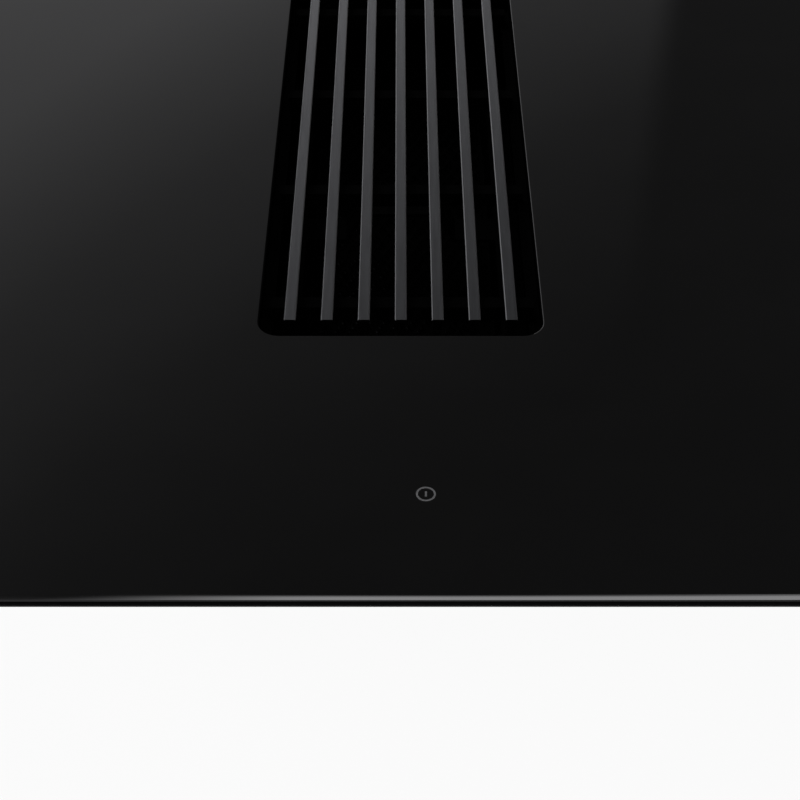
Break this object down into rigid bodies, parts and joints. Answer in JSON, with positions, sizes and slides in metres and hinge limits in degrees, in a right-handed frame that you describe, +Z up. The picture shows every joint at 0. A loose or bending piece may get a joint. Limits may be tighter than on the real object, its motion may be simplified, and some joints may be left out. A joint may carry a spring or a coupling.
{
  "type": "downdraft induction cooktop",
  "caption": "Black glass induction cooktop with a central slatted extractor intake, lift-out filter, and a blower with a flat rear duct outlet beneath.",
  "frame": {"origin": "centre of the footprint, on the surface that the air box stands on", "axes": "+X to the right of the cook, +Y away from the cook, +Z up"},
  "size_m": [0.83, 0.52, 0.21],
  "materials": {
    "black_glass": "polished, opaque black glass-ceramic",
    "slat_metal": "dark satin anodised",
    "black_plastic": "matte black moulding",
    "grey_plastic": "matte grey moulding",
    "galvanised": "zinc-coated sheet",
    "aluminium": "bare sheet",
    "coated_metal": "black baked coating on sheet and expanded mesh",
    "stainless": "brushed",
    "copper": "enamelled winding",
    "circuit": "green circuit board",
    "mica": "pressed mica sheet",
    "foam": "closed-cell foam"
  },
  "bodies": {
    "unit": {"glass_top": "black_glass", "worktop_seal": "foam", "intake_gasket": "foam", "intake_frame": "black_plastic", "air_well": "black_plastic", "base_pan": "galvanised", "air_box": "black_plastic", "scroll_lower": "grey_plastic", "scroll_upper": "grey_plastic", "motor": "stainless", "outlet_spigot": "black_plastic", "touch_board": "circuit", "touch_bracket": "black_plastic", "terminal_box": "black_plastic", "terminal_cover": "black_plastic", "cable_gland": "grey_plastic", "mica_sheet_left": "mica", "coil_tray_left": "aluminium", "power_board_left": "circuit", "heat_sink_left": "aluminium", "fan_housing_left": "black_plastic", "coil_front_left": "copper", "coil_holder_front_left": "black_plastic", "sensor_front_left": "black_plastic", "coil_rear_left": "copper", "coil_holder_rear_left": "black_plastic", "sensor_rear_left": "black_plastic", "mica_sheet_right": "mica", "coil_tray_right": "aluminium", "power_board_right": "circuit", "heat_sink_right": "aluminium", "fan_housing_right": "black_plastic", "coil_front_right": "copper", "coil_holder_front_right": "black_plastic", "sensor_front_right": "black_plastic", "coil_rear_right": "copper", "coil_holder_rear_right": "black_plastic", "sensor_rear_right": "black_plastic"},
    "tray": {"drip_tray": "grey_plastic"},
    "filter": {"filter_frame": "coated_metal", "filter_mesh": "coated_metal"},
    "grille": {"grille_carrier": "black_plastic", "slat_1": "slat_metal", "slat_2": "slat_metal", "slat_3": "slat_metal", "slat_4": "slat_metal", "slat_5": "slat_metal", "slat_6": "slat_metal", "slat_7": "slat_metal"},
    "blower_wheel": {"impeller": "grey_plastic", "motor_shaft": "stainless"},
    "fan_left": {"fan_rotor_left": "grey_plastic"},
    "fan_right": {"fan_rotor_right": "grey_plastic"},
    "flap": {"backdraft_flap": "grey_plastic"},
    "clamp_left": {"clamp_arm_left": "galvanised"},
    "clamp_right": {"clamp_arm_right": "galvanised"},
    "bolt_left": {"clamp_bolt_left": "stainless"},
    "bolt_right": {"clamp_bolt_right": "stainless"}
  },
  "joints": [
    {"name": "tray_lift", "type": "slide", "parent": "unit", "child": "tray", "axis": [0, 0, 1], "range_m": [0, 0.22]},
    {"name": "filter_lift", "type": "slide", "parent": "tray", "child": "filter", "axis": [0, 0, 1], "range_m": [0, 0.12]},
    {"name": "grille_lift", "type": "slide", "parent": "filter", "child": "grille", "axis": [0, 0, 1], "range_m": [0, 0.05]},
    {"name": "impeller_spin", "type": "hinge", "parent": "unit", "child": "blower_wheel", "pos_m": [0.19184, 0.042, 0.05], "axis": [0, 0, 1], "continuous": true},
    {"name": "fan_left_spin", "type": "hinge", "parent": "unit", "child": "fan_left", "pos_m": [-0.322, -0.16, 0.16], "axis": [0, 0, 1], "continuous": true},
    {"name": "fan_right_spin", "type": "hinge", "parent": "unit", "child": "fan_right", "pos_m": [0.322, -0.16, 0.16], "axis": [0, 0, 1], "continuous": true},
    {"name": "flap_swing", "type": "hinge", "parent": "unit", "child": "flap", "pos_m": [0.214, 0.2258, 0.0888], "axis": [1, 0, 0], "range_deg": [0, 75]},
    {"name": "clamp_left_turn", "type": "hinge", "parent": "unit", "child": "clamp_left", "pos_m": [-0.376, -0.06, 0.14], "axis": [0, 0, 1], "range_deg": [0, 90]},
    {"name": "clamp_right_turn", "type": "hinge", "parent": "unit", "child": "clamp_right", "pos_m": [0.376, -0.06, 0.14], "axis": [0, 0, -1], "range_deg": [0, 90]},
    {"name": "bolt_left_travel", "type": "slide", "parent": "clamp_left", "child": "bolt_left", "axis": [0, 0, 1], "range_m": [0, 0.027]},
    {"name": "bolt_right_travel", "type": "slide", "parent": "clamp_right", "child": "bolt_right", "axis": [0, 0, 1], "range_m": [0, 0.027]}
  ]
}
